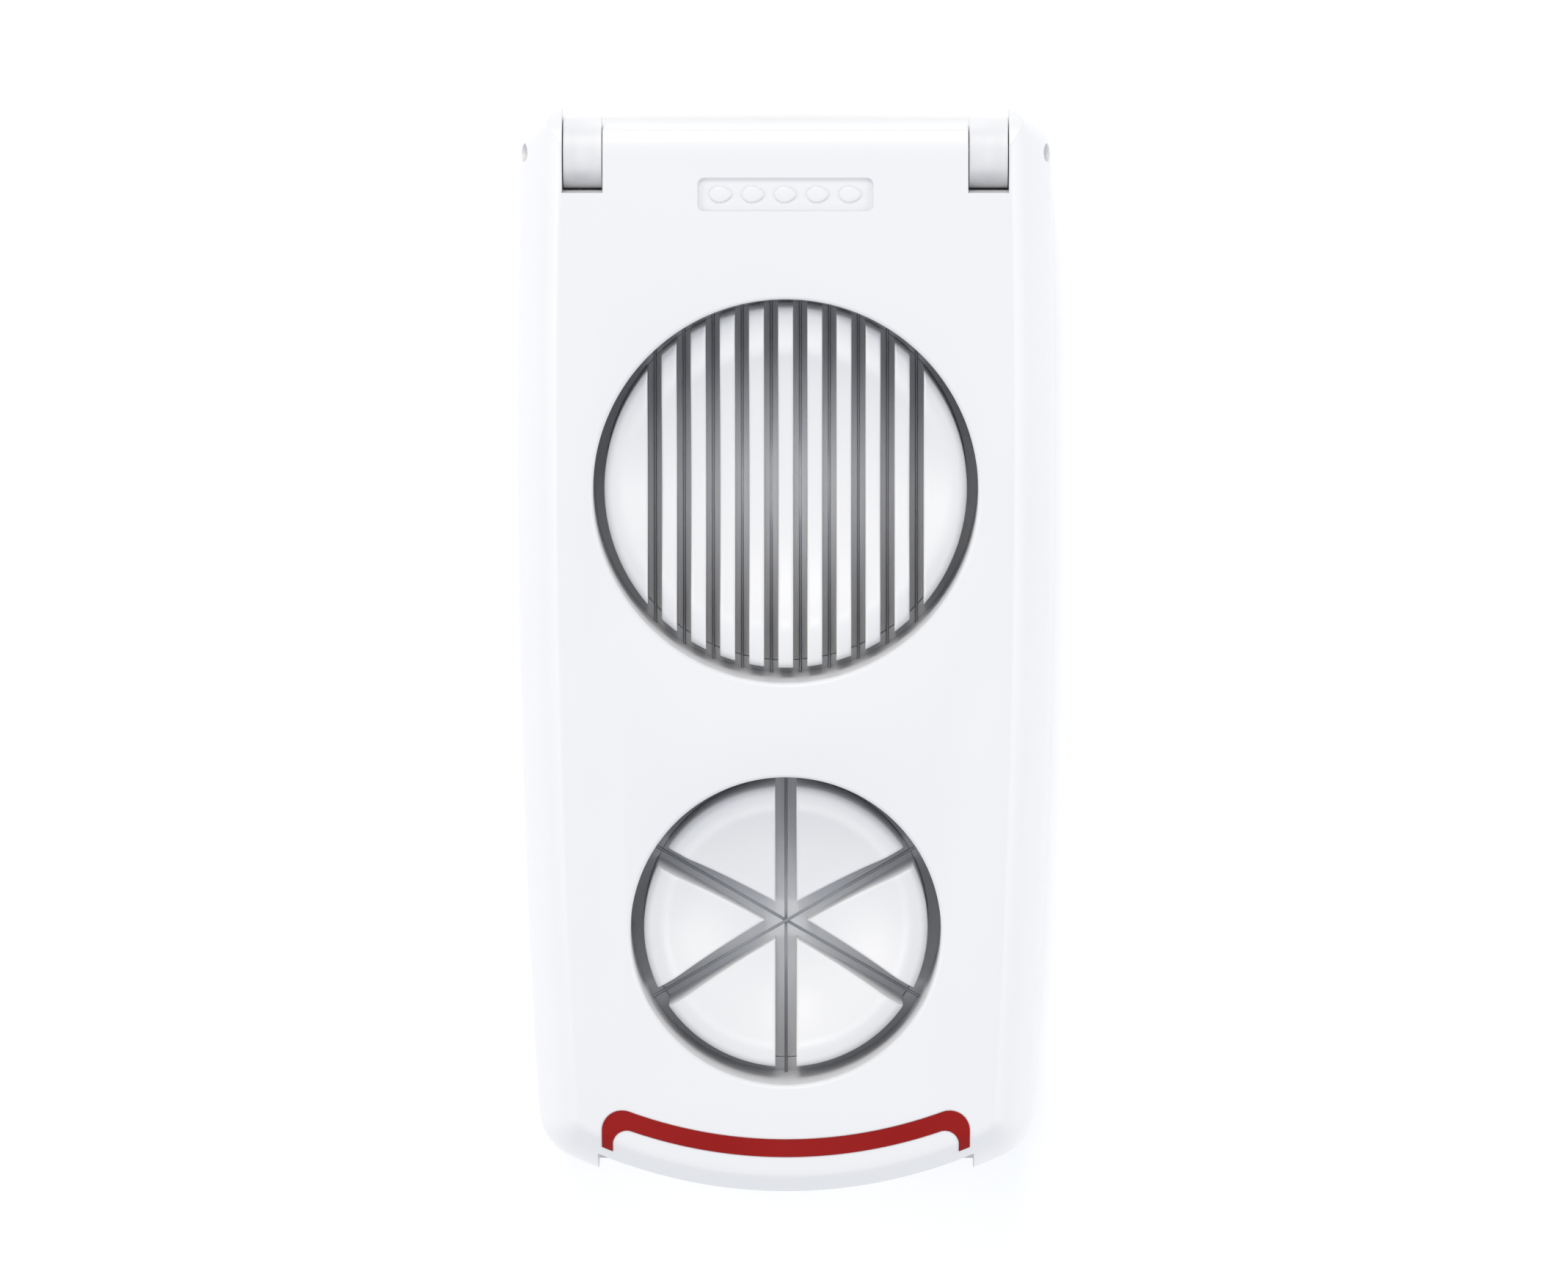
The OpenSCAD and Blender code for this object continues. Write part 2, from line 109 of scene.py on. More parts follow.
def rings(name, loops):
    """A closed solid through loops of equal length, from the bottom up and anticlockwise from above."""
    n = len(loops[0])
    points = [p for loop in loops for p in loop]
    faces = [list(range(n))[::-1], list(range((len(loops) - 1) * n, len(loops) * n))]
    for i in range(len(loops) - 1):
        a, b = i * n, (i + 1) * n
        faces += [(a + j, a + (j + 1) % n, b + (j + 1) % n, b + j) for j in range(n)]
    return to_object(name, points, faces)


def prism(name, plan, z0, z1):
    return rings(name, [[(x, y, z) for x, y in plan] for z in (z0, z1)])


def circle(cx, cy, r, n=240):
    return [(cx + r * math.cos(a), cy + r * math.sin(a)) for a in np.arange(n) * 2 * math.pi / n]


def turned(name, profile, cx=0, cy=0, n=240):
    """A solid turned about an upright axis from (radius, height) pairs."""
    return rings(name, [[(x, y, z) for x, y in circle(cx, cy, r, n)] for r, z in profile])


def turned_bar(name, profile, n=64):
    """A solid turned about the hinge axis from (radius, x) pairs."""
    angles = np.arange(n) * 2 * math.pi / n
    return rings(name, [[(x, AXIS_Y + r * math.cos(a), AXIS_Z + r * math.sin(a)) for a in angles]
                        for r, x in profile])


def box(name, low, high):
    (x0, y0, z0), (x1, y1, z1) = low, high
    return prism(name, [(x0, y0), (x1, y0), (x1, y1), (x0, y1)], z0, z1)


def settle(obj):
    """Turns what the modifiers make into the object's own mesh."""
    bpy.context.view_layer.update()
    mesh = bpy.data.meshes.new_from_object(obj.evaluated_get(bpy.context.evaluated_depsgraph_get()))
    obj.modifiers.clear()
    old, obj.data = obj.data, mesh
    bpy.data.meshes.remove(old)
    mesh.name = obj.name
    return obj


def combine(obj, operation, others):
    for other in others:
        step = obj.modifiers.new("step", "BOOLEAN")
        step.operation, step.solver, step.object = operation, "EXACT", other
    settle(obj)
    for other in others:
        bpy.data.objects.remove(other)
    return obj


def cut(obj, *others):
    return combine(obj, "DIFFERENCE", others)


def keep(obj, *others):
    return combine(obj, "INTERSECT", others)


def mirrored(plan):
    return [(-x, y) for x, y in reversed(plan)]


def smooth(obj, angle=32):
    """Joins doubles and shades smooth up to an angle between faces."""
    work = bmesh.new()
    work.from_mesh(obj.data)
    bmesh.ops.remove_doubles(work, verts=work.verts, dist=1e-6)
    bmesh.ops.dissolve_degenerate(work, edges=work.edges, dist=1e-7)
    work.to_mesh(obj.data)
    work.free()
    obj.data.shade_smooth()
    obj.data.set_sharp_from_angle(angle=math.radians(angle))
    return obj


def finish_piece(obj, body, slot, finish, *nodes):
    obj.data.materials.clear()
    obj.data.materials.append(finish)
    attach(obj, body)
    if nodes:
        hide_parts(*nodes)
    return obj


# ---- Node trees

class Value:
    """A socket that takes part in arithmetic: each operator adds its Math node."""

    def __init__(self, tree, socket):
        self.tree, self.socket = tree, socket

    def maths(self, operation, *values):
        return self.tree.node("ShaderNodeMath", values, operation=operation)

    def __add__(self, other): return self.maths("ADD", self, other)
    def __radd__(self, other): return self.maths("ADD", other, self)
    def __sub__(self, other): return self.maths("SUBTRACT", self, other)
    def __rsub__(self, other): return self.maths("SUBTRACT", other, self)
    def __mul__(self, other): return self.maths("MULTIPLY", self, other)
    def __rmul__(self, other): return self.maths("MULTIPLY", other, self)
    def __truediv__(self, other): return self.maths("DIVIDE", self, other)
    def __rtruediv__(self, other): return self.maths("DIVIDE", other, self)
    def __pow__(self, other): return self.maths("POWER", self, other)
    def __lt__(self, other): return self.maths("LESS_THAN", self, other)
    def __gt__(self, other): return self.maths("GREATER_THAN", self, other)
    def __abs__(self): return self.maths("ABSOLUTE", self)
    def least(self, other): return self.maths("MINIMUM", self, other)
    def most(self, other): return self.maths("MAXIMUM", self, other)
    def root(self): return self.maths("SQRT", self)


class Tree:
    """Makes nodes in a node tree."""

    def __init__(self, tree):
        self.tree = tree

    def node(self, kind, values=(), out=0, **settings):
        """A node of a type: its settings first, then the values or links of its inputs by place or name."""
        made = self.tree.nodes.new(kind)
        for name, value in settings.items():
            setattr(made, name, value)
        for name, value in values.items() if isinstance(values, dict) else enumerate(values):
            if isinstance(value, Value):
                self.tree.links.new(value.socket, made.inputs[name])
            elif value is not None:
                made.inputs[name].default_value = value
        return Value(self, made.outputs[out]) if made.outputs else made

    def parts(self, vector):
        split = self.tree.nodes.new("ShaderNodeSeparateXYZ")
        self.tree.links.new(vector.socket, split.inputs[0])
        return [Value(self, s) for s in split.outputs]


def new_finish(name):
    material = bpy.data.materials.new(name)
    material.use_nodes = True
    material.node_tree.nodes.clear()
    return material, Tree(material.node_tree)


def close_finish(tree, values):
    shader = tree.node("ShaderNodeBsdfPrincipled", values)
    tree.node("ShaderNodeOutputMaterial", {"Surface": shader})


def moulded(name, colour, roughness, edge=0.3, peel=0.00002, sheen_of_mould=0.05):
    """Moulded plastic: faint flow clouds, a fine skin from the mould, and edges broken by a small radius."""
    material, t = new_finish(name)
    place = t.node("ShaderNodeTexCoord", out="Object")
    clouds = t.node("ShaderNodeTexNoise",
                    {"Vector": place, "Scale": 26.0, "Detail": 3.0, "Roughness": 0.55}, out="Fac")
    skin = t.node("ShaderNodeTexNoise",
                  {"Vector": place, "Scale": 1500.0, "Detail": 2.0, "Roughness": 0.5}, out="Fac")
    wander = t.node("ShaderNodeTexNoise",
                    {"Vector": place, "Scale": 240.0, "Detail": 2.0, "Roughness": 0.5}, out="Fac")
    deep = [c * 0.965 for c in colour] + [1]
    tone = t.node("ShaderNodeMix", {"Factor": clouds, "A": deep, "B": list(colour) + [1]},
                  out=2, data_type="RGBA")
    soft_edge = t.node("ShaderNodeBevel", {"Radius": edge * MM}, samples=6)
    normal = t.node("ShaderNodeBump", {
        "Strength": 1.0, "Distance": peel, "Height": skin * 0.35 + wander * 0.65, "Normal": soft_edge})
    close_finish(t, values={
        "Base Color": tone, "Roughness": roughness - sheen_of_mould / 2 + clouds * sheen_of_mould,
        "Normal": normal, "IOR": 1.49, "Specular IOR Level": 0.5})
    return material


def soft_touch(name, colour):
    """Soft-touch inlay: matt and finely pebbled, a little paler where fingers have polished it."""
    material, t = new_finish(name)
    place = t.node("ShaderNodeTexCoord", out="Object")
    pebbles = t.node("ShaderNodeTexVoronoi", {"Vector": place, "Scale": 3200.0, "Randomness": 1.0},
                     out="Distance")
    patches = t.node("ShaderNodeTexNoise", {"Vector": place, "Scale": 90.0, "Detail": 3.0}, out="Fac")
    pale = [min(1, c * 1.15 + 0.004) for c in colour] + [1]
    tone = t.node("ShaderNodeMix", {"Factor": patches, "A": list(colour) + [1], "B": pale},
                  out=2, data_type="RGBA")
    normal = t.node("ShaderNodeBump", {"Strength": 0.6, "Distance": 0.00003, "Height": pebbles})
    close_finish(t, values={
        "Base Color": tone, "Roughness": 0.5 + patches * 0.12, "Normal": normal, "IOR": 1.45,
        "Specular IOR Level": 0.12})
    return material


def drawn_steel(name, colour, roughness, along):
    """Steel drawn or turned along one axis: fine lines that run that way."""
    material, t = new_finish(name)
    place = t.node("ShaderNodeTexCoord", out="Object")
    scale = [9000.0 if axis != along else 160.0 for axis in "XYZ"]
    stretched = t.node("ShaderNodeMapping", {"Vector": place, "Scale": scale})
    lines = t.node("ShaderNodeTexNoise", {"Vector": stretched, "Scale": 1.0, "Detail": 2.0}, out="Fac")
    dark = [c * 0.86 for c in colour] + [1]
    tone = t.node("ShaderNodeMix", {"Factor": lines, "A": dark, "B": list(colour) + [1]},
                  out=2, data_type="RGBA")
    normal = t.node("ShaderNodeBump", {"Strength": 0.25, "Distance": 0.00001, "Height": lines})
    close_finish(t, values={
        "Base Color": tone, "Roughness": roughness + lines * 0.1, "Metallic": 1.0, "Normal": normal})
    return material


def rubber(name, colour):
    """Matt rubber with a dusty, slightly uneven skin."""
    material, t = new_finish(name)
    place = t.node("ShaderNodeTexCoord", out="Object")
    dust = t.node("ShaderNodeTexNoise",
                  {"Vector": place, "Scale": 420.0, "Detail": 4.0, "Roughness": 0.65}, out="Fac")
    pale = [c * 1.1 for c in colour] + [1]
    tone = t.node("ShaderNodeMix", {"Factor": dust, "A": list(colour) + [1], "B": pale},
                  out=2, data_type="RGBA")
    normal = t.node("ShaderNodeBump", {"Strength": 0.5, "Distance": 0.00004, "Height": dust})
    close_finish(t, values={"Base Color": tone, "Roughness": 0.72 + dust * 0.14, "Normal": normal,
                            "IOR": 1.5})
    return material


LID_WHITE = moulded("lid_white", (0.80, 0.80, 0.81), 0.34)
LINER_WHITE = moulded("liner_white", (0.78, 0.78, 0.79), 0.42)
BASE_WHITE = moulded("base_white", (0.80, 0.80, 0.81), 0.4)
CUP_WHITE = moulded("cup_white", (0.80, 0.80, 0.81), 0.4)
GRIP_RED = soft_touch("grip_red", (0.26, 0.008, 0.007))
# The wires' steel is the same steel as the pins' but given a much darker colour: painted shade, so the wires
# deep in the openings read as dark lines
WIRE_STEEL_PAINTED_SHADE = drawn_steel("wire_steel", (0.36, 0.37, 0.39), 0.34, "Y")
PIN_STEEL = drawn_steel("pin_steel", (0.58, 0.59, 0.60), 0.28, "X")
FOOT_GREY = rubber("foot_grey", (0.42, 0.43, 0.45))


# ---- Lid cover

def arc(cx, cy, r, a0, a1, n):
    return [(cx + r * math.cos(a), cy + r * math.sin(a)) for a in np.linspace(a0, a1, n + 1)]


def outline(inset, back_y):
    """Plan of the lid, moved in by inset, with as many points whatever the inset."""
    r, rear_r = max(CORNER_R - inset, 0.6), max(REAR_CORNER_R - inset, 0.6)
    front_r, side_r = FRONT_R - inset, SIDE_R - inset
    # The corner's middle lies r in from the side's circle and from the front's
    dx, dy = -SIDE_X, LIP_Y - APEX_Y
    d = math.hypot(dx, dy)
    ra, rb = side_r - r, front_r - r
    t = (ra**2 - rb**2 + d**2) / (2 * d)
    h = math.sqrt(ra**2 - t**2)
    ux, uy = dx / d, dy / d
    corner = (SIDE_X + ux * t + uy * h, APEX_Y + uy * t - ux * h)
    rear_y = back_y - rear_r
    rear = (SIDE_X + math.sqrt((side_r - rear_r) ** 2 - (rear_y - APEX_Y) ** 2), rear_y)
    front_a = math.atan2(corner[1] - LIP_Y, corner[0])
    side_a = math.atan2(corner[1] - APEX_Y, corner[0] - SIDE_X)
    rear_a = math.atan2(rear[1] - APEX_Y, rear[0] - SIDE_X)
    half = arc(0, LIP_Y, front_r, -math.pi / 2, front_a, 48)
    half += arc(*corner, r, front_a, side_a, 14)[1:]
    half += arc(SIDE_X, APEX_Y, side_r, side_a, rear_a, 40)[1:]
    half += arc(*rear, rear_r, rear_a, math.pi / 2, 12)[1:]
    return half + mirrored(half)[:-1]


def shoulder(inset, top):
    """(distance in from the outline, height) pairs up the lid's rounded shoulder and onto its flat top."""
    end = math.acos(1 - SHOULDER_W / SHOULDER_R)
    r = SHOULDER_R - inset
    steps = [(r * (1 - math.cos(a)), SHOULDER_Z + r * math.sin(a)) for a in np.linspace(0, end * 0.93, 16)]
    steps = [p for p in steps if p[1] < top - 0.3]
    (s0, z0), (s1, z1) = steps[-2], steps[-1]
    lean = (z1 - z0) / (s1 - s0)
    s2 = s1 + (top - z1) / lean
    s3 = s2 + CREASE_W
    for u in np.linspace(0, 1, 7)[1:]:
        a, b, c = (1 - u) ** 2, 2 * u * (1 - u), u * u
        steps.append((a * s1 + b * s2 + c * s3, a * z1 + b * top + c * top))
    return steps


def lid_form(name, inset, z0, top, back_y):
    loops = [[(x, y, z0) for x, y in outline(inset, back_y)]]
    loops += [[(x, y, z) for x, y in outline(inset + s, back_y)] for s, z in shoulder(inset, top)]
    return rings(name, loops)


def front_plan(r, half):
    """Plan of everything in front of a circle round the lip's centre, between two sides."""
    end = math.asin(half / r)
    return arc(0, LIP_Y, r, -math.pi / 2 - end, -math.pi / 2 + end, 80)[::-1] + [(-half, -FAR), (half, -FAR)]


def edge_plan(r, half, bend):
    """Plan of everything in front of an arc of the grip band, between two sides, with rounded corners."""
    x = half - bend
    y = BAND_Y - math.sqrt((r + bend) ** 2 - x**2)
    lean = math.atan2(BAND_Y - y, -x)
    right = arc(x, y, bend, 0, lean, 12)
    end = math.asin(right[-1][0] / r)
    return right + arc(0, BAND_Y, r, -math.pi / 2 + end, -math.pi / 2 - end, 90)[1:-1] + mirrored(right) + [
        (-half, -FAR), (half, -FAR)]


def lip_shell(name, rise):
    """The lid's front as a turned solid, moved up by rise, for the band's top and its groove's floor."""
    steps = [(FRONT_R - s, z + rise) for s, z in shoulder(0, TOP)]
    return turned(name, [(FRONT_R, 10)] + steps, 0, LIP_Y, 720)


def grip_band(name, up, down):
    """The grip band's solid between two levels measured from the lid's surface."""
    band = prism(name, edge_plan(BAND_R - BAND_W, BAND_HALF, 3.4), TOP - 9, TOP + 2)
    cut(band, prism("inside", edge_plan(BAND_R, BAND_HALF - BAND_END_W, 2.4), TOP - 10, TOP + 3))
    keep(band, prism("ends", circle(0, LIP_Y, LIP_R - BAND_END_BACK, 720), TOP - 10, TOP + 3))
    keep(band, lip_shell("level", up))
    return cut(band, lip_shell("floor", down))


def hole(name, cy, r):
    """What an opening takes away: a cylinder with a flared top, so that the rim is round."""
    flare = [(r + RIM * (1 - math.cos(a)), TOP + 0.02 - RIM + RIM * math.sin(a))
             for a in np.linspace(0, math.pi / 2, 9)]
    return turned(name, [(r, LID_Z - 1), *flare, (r + RIM, TOP + 2)], 0, cy, 360)


def rounded(cx, cy, w, l, r, n=6):
    plan = []
    for sx, sy, a in ((1, -1, -90), (1, 1, 0), (-1, 1, 90), (-1, -1, 180)):
        plan += arc(cx + sx * (w / 2 - r), cy + sy * (l / 2 - r), r, math.radians(a), math.radians(a + 90), n)
    return plan


def wire_slots():
    """What the wires pass through in the collars."""
    out = SLICE_R + COLLAR + 1
    slots = [box(f"slot_{i}", (wire_x(i) - WIRE_R, SLICE_Y - out, LID_Z - 1),
                 (wire_x(i) + WIRE_R, SLICE_Y + out, WIRE_Z + WIRE_R))
             for i in range(WIRES)]
    out = WEDGE_R + COLLAR + 1
    for i in range(WEDGES):
        a = math.pi * (0.5 + i / WEDGES)
        u, v = (math.cos(a) * out, math.sin(a) * out), (-math.sin(a) * WIRE_R, math.cos(a) * WIRE_R)
        plan = [(su * u[0] + sv * v[0], WEDGE_Y + su * u[1] + sv * v[1])
                for su, sv in ((-1, -1), (1, -1), (1, 1), (-1, 1))]
        slots.append(prism(f"wedge_slot_{i}", plan, LID_Z - 1, wedge_z(i) + WIRE_R))
    return slots


def wire_x(i):
    return (i - (WIRES - 1) / 2) * WIRE_PITCH


def wedge_z(i):
    return WIRE_Z + i * (2 * WIRE_R + WIRE_GAP)


def pin_blocks(z0, z1):
    return [box("block", (x0, BOSS_Y, z0), (x1, FAR, z1)) for x0, x1 in ((BOSS_X, FAR), (-FAR, -BOSS_X))]


def lid_room():
    """The space inside the lid, round the collars, the finger recess and the blocks for the hinge pins."""
    room = lid_form("room", LID_WALL, LID_Z - 1, TOP - PANEL_WALL, TONGUE_Y - LID_WALL)
    return cut(room, turned("collar", [(SLICE_R + COLLAR, 0), (SLICE_R + COLLAR, 50)], 0, SLICE_Y, 360),
               turned("collar", [(WEDGE_R + COLLAR, 0), (WEDGE_R + COLLAR, 50)], 0, WEDGE_Y, 360),
               prism("recess_wall", front_plan(RECESS_R - LID_WALL, LIP_HALF + LID_WALL), 0, 50),
               *pin_blocks(0, 50))


def liner_seat():
    seat = prism("seat", outline(LID_WALL, TONGUE_Y - LID_WALL), LID_Z - 2, LINER_Z)
    return cut(seat, prism("recess_wall", front_plan(RECESS_R - LID_WALL, LIP_HALF + LID_WALL), 0, 50),
               *pin_blocks(0, 50))


def lid_cover():
    lid = lid_form("lid_cover_shell", 0, LID_Z, TOP, REAR_Y)
    cut(lid, lid_room())
    cut(lid, liner_seat())
    cut(lid, hole("slicing_hole", SLICE_Y, SLICE_R), hole("wedge_hole", WEDGE_Y, WEDGE_R))
    cut(lid, prism("recess", front_plan(RECESS_R, LIP_HALF), LID_Z - 1, TOP - LIP_T),
        prism("lip", front_plan(LIP_R, LIP_HALF), LID_Z - 1.5, TOP + 1))
    back = box("back", (-FAR, AXIS_Y, LID_Z - 2), (FAR, FAR, TOP + 2))
    cut(lid, cut(back, turned_bar("roll", [(LID_H / 2, -2 * FAR), (LID_H / 2, 2 * FAR)], 180)))
    for side in (-1, 1):
        x = side * KNUCKLE_X
        cut(lid, box("notch", (x - NOTCH_HALF, NOTCH_Y, LID_Z - 2), (x + NOTCH_HALF, FAR, TOP + 2)),
            turned_bar("bore", [(PIN_R, x) for x in sorted((side * PIN_IN, side * FAR))]))
    cut(lid, box("tongue", (-KNUCKLE_X, TONGUE_Y, LID_Z - 1.7), (KNUCKLE_X, FAR, TOP + 1.7)))
    cut(lid, *wire_slots())
    cut(lid, prism("badge", rounded(0, BADGE_Y, BADGE_W, BADGE_L, BADGE_CORNER), TOP - BADGE_DEPTH, TOP + 2))
    cut(lid, grip_band("groove", 1, -BAND_DEPTH))
    return smooth(lid)


# ---- Cups

def rounding(depth, r):
    """How far a rounded edge of radius r lies below its top, depth in from the edge."""
    inside = np.clip(r - np.asarray(depth, float), 0, r)
    return r - np.sqrt(np.maximum(r * r - inside * inside, 0))


def soft_least(a, b, k=0.9):
    """The lower of two heights, blended where they meet."""
    h = np.clip(0.5 + 0.5 * (b - a) / k, 0, 1)
    return b * (1 - h) + a * h - k * h * (1 - h)


def lying_seat(x, y):
    long_r = (SEAT_A**2 + SEAT_DEPTH**2) / (2 * SEAT_DEPTH)
    round_r = (SEAT_B**2 + SEAT_DEPTH**2) / (2 * SEAT_DEPTH)
    rho = round_r - long_r + np.sqrt(long_r**2 - x**2)
    return CUP_Z - SEAT_DEPTH + round_r - np.sqrt(np.maximum(rho**2 - y**2, 0))


def standing_seat(x, y):
    r = (WEDGE_SEAT**2 + SEAT_DEPTH**2) / (2 * SEAT_DEPTH)
    return CUP_Z - SEAT_DEPTH + r - np.sqrt(np.maximum(r * r - x**2 - y**2, 0))


def block(x, y, z):
    """Points and faces of a closed block under a grid of heights, down to the slots' floor."""
    rows, columns = x.shape
    top = np.stack([x, y, z], -1).reshape(-1, 3)
    points = np.vstack([top, top * [1, 1, 0] + [0, 0, SLOT_Z]]).tolist()
    n = rows * columns
    faces = []
    for i in range(rows - 1):
        for j in range(columns - 1):
            a = i * columns + j
            faces.append((a, a + columns, a + columns + 1, a + 1))
            faces.append((n + a, n + a + 1, n + a + columns + 1, n + a + columns))
    rim = [i * columns for i in range(rows)] + [(rows - 1) * columns + j for j in range(1, columns)]
    rim += [i * columns + columns - 1 for i in range(rows - 2, -1, -1)] + list(range(columns - 2, 0, -1))
    faces += [(a, n + a, n + b, b) for a, b in zip(rim, rim[1:] + rim[:1])]
    return points, faces


def from_edges(width, r, inner):
    """Places across a width, close together in the rounding at both edges."""
    edge = min(r, width / 2)
    near = edge * (1 - np.cos(np.linspace(0, math.pi / 2, 6)))
    middle = np.linspace(edge, width - edge, inner + 2)[1:-1] if width > 2 * edge else np.array([])
    return np.unique(np.round(np.concatenate([near, middle, width - near]), 6))


def cup(name, cy, r, blocks):
    """A cup: its blocks on a flanged disc."""
    foot = [(r + FLANGE, UNDER_DECK - FLANGE), (r + FLANGE, UNDER_DECK), (r, UNDER_DECK), (r, SLOT_Z)]
    disc = turned(name, foot, 0, cy, 240)
    made = [disc]
    for i, (x, y, z) in enumerate(blocks):
        points, faces = block(x, y + cy, z)
        made.append(to_object(f"{name}_{i}", points, faces))
    work = bmesh.new()
    for obj in made:
        work.from_mesh(obj.data)
    bmesh.ops.remove_doubles(work, verts=[v for v in work.verts], dist=1e-7)
    bmesh.ops.dissolve_degenerate(work, edges=work.edges, dist=1e-8)
    bmesh.ops.recalc_face_normals(work, faces=work.faces)
    work.to_mesh(disc.data)
    work.free()
    for obj in made[1:]:
        bpy.data.objects.remove(obj)
    disc.data.shade_smooth()
    disc.data.set_sharp_from_angle(angle=math.radians(38))
    return disc


def slicing_blocks():
    r = SLICE_CUP_R
    edges = [-r] + [v for i in range(WIRES) for v in (wire_x(i) - SLOT / 2, wire_x(i) + SLOT / 2)] + [r]
    t = np.sin(np.linspace(-math.pi / 2, math.pi / 2, 97))
    blocks = []
    for x0, x1 in zip(edges[::2], edges[1::2]):
        at = x0 + from_edges(x1 - x0, RIB_EDGE, 5)
        if x0 == -r or x1 == r:
            at = x0 + (x1 - x0) * (1 - np.cos(np.linspace(0, math.pi, 29))) / 2
        x, s = np.meshgrid(at, t, indexing="ij")
        y = s * np.sqrt(np.maximum(r * r - x * x, 0))
        beside = np.minimum(np.where(x0 == -r, 9, x - x0), np.where(x1 == r, 9, x1 - x))
        z = soft_least(np.full_like(x, CUP_Z), lying_seat(x, y))
        z = z - rounding(beside, RIB_EDGE) - rounding(r - np.hypot(x, y), CUP_EDGE)
        blocks.append((x, y, z))
    return blocks


def wedge_blocks():
    r = WEDGE_CUP_R
    half = math.pi / 2 / WEDGES
    start = WEDGE_SLOT / 2 / math.sin(half)
    rho = start + (r - start) * np.sin(np.linspace(0, math.pi / 2, 64))
    rho[0] += 1e-4
    blocks = []
    for i in range(2 * WEDGES):
        middle = 2 * half * i
        span = half - np.arcsin(WEDGE_SLOT / 2 / rho)
        v = np.sin(np.linspace(-math.pi / 2, math.pi / 2, 49))
        turn = span[:, None] * v[None, :]
        out = np.repeat(rho[:, None], v.size, 1)
        x, y = out * np.cos(middle + turn), out * np.sin(middle + turn)
        beside = out * np.sin(half - np.abs(turn)) - WEDGE_SLOT / 2
        z = soft_least(np.full_like(x, CUP_Z), standing_seat(x, y))
        z = z - rounding(beside, RIB_EDGE) - rounding(r - out, CUP_EDGE)
        blocks.append((x, y, z))
    return blocks


# ---- Wires

def wire_tree():
    """Geometry Nodes for a set of taut wires, each bent up just outside a round collar."""
    group = bpy.data.node_groups.new("taut_wires", "GeometryNodeTree")
    group.interface.new_socket("Geometry", in_out="OUTPUT", socket_type="NodeSocketGeometry")
    kinds = {"Count": "NodeSocketInt", "Pitch": "NodeSocketFloat", "Rise": "NodeSocketFloat",
             "Turn": "NodeSocketFloat", "First turn": "NodeSocketFloat",
             "Collar": "NodeSocketFloat", "Wire": "NodeSocketFloat",
             "Bend": "NodeSocketFloat", "Gap": "NodeSocketFloat", "Hook": "NodeSocketFloat",
             "Centre": "NodeSocketVector", "Steel": "NodeSocketMaterial"}
    for name, kind in kinds.items():
        group.interface.new_socket(name, in_out="INPUT", socket_type=kind)
    t = Tree(group)
    source = group.nodes.new("NodeGroupInput")
    given = {name: Value(t, source.outputs[name]) for name in kinds}
    count, wire, bend = given["Count"], given["Wire"], given["Bend"]
    half_steps = 11
    # A wire as a chain of points, first along the row and then set in place from its number and its step
    index = t.node("GeometryNodeInputIndex")
    chain = t.node("GeometryNodeMeshLine", {"Count": 2 * half_steps})
    chain = t.node("GeometryNodeStoreNamedAttribute", {"Geometry": chain, "Name": "step", "Value": index},
                   data_type="FLOAT")
    spots = t.node("GeometryNodeMeshLine", {"Count": count})
    spots = t.node("GeometryNodeStoreNamedAttribute", {"Geometry": spots, "Name": "number", "Value": index},
                   data_type="FLOAT")
    row = t.node("GeometryNodeInstanceOnPoints", {"Points": spots, "Instance": chain})
    row = t.node("GeometryNodeRealizeInstances", {"Geometry": row})
    step = t.node("GeometryNodeInputNamedAttribute", {"Name": "step"}, data_type="FLOAT")
    number = t.node("GeometryNodeInputNamedAttribute", {"Name": "number"}, data_type="FLOAT")
    x = (number - (count - 1) * 0.5) * given["Pitch"]
    reach = (given["Collar"] ** 2 - (abs(x) - wire).most(0) ** 2).root() + bend + given["Gap"]
    reach = t.node("ShaderNodeMath", (reach * 10000,), operation="CEIL") / 10000
    side = (step > half_steps - 0.5) * 2 - 1
    place = step.least(2 * half_steps - 1 - step)
    angle = (place - 1).most(0) * (math.pi / 2 / (half_steps - 2))
    sine, cosine = (t.node("ShaderNodeMath", (angle,), operation=o) for o in ("SINE", "COSINE"))
    at_top = place < 0.5
    y = side * (reach - bend + bend * cosine)
    z = (bend - bend * sine) * (1 - at_top) + given["Hook"] * at_top + number * given["Rise"]
    spot = t.node("ShaderNodeCombineXYZ", (x, y, z))
    turned_by = given["First turn"] + number * given["Turn"]
    spot = t.node("ShaderNodeVectorRotate", {"Vector": spot, "Angle": turned_by}, rotation_type="Z_AXIS")
    spot = t.node("ShaderNodeVectorMath", (spot, given["Centre"]), operation="ADD")
    row = t.node("GeometryNodeSetPosition", {"Geometry": row, "Position": spot})
    line = t.node("GeometryNodeMeshToCurve", {"Mesh": row})
    ring = t.node("GeometryNodeCurvePrimitiveCircle", {"Resolution": 16, "Radius": wire})
    solid = t.node("GeometryNodeCurveToMesh", {"Curve": line, "Profile Curve": ring, "Fill Caps": True})
    solid = t.node("GeometryNodeSetShadeSmooth", {"Geometry": solid})
    solid = t.node("GeometryNodeRealizeInstances", {"Geometry": solid})
    solid = t.node("GeometryNodeSetMaterial", {"Geometry": solid, "Material": given["Steel"]})
    target = group.nodes.new("NodeGroupOutput")
    group.links.new(solid.socket, target.inputs["Geometry"])
    return group


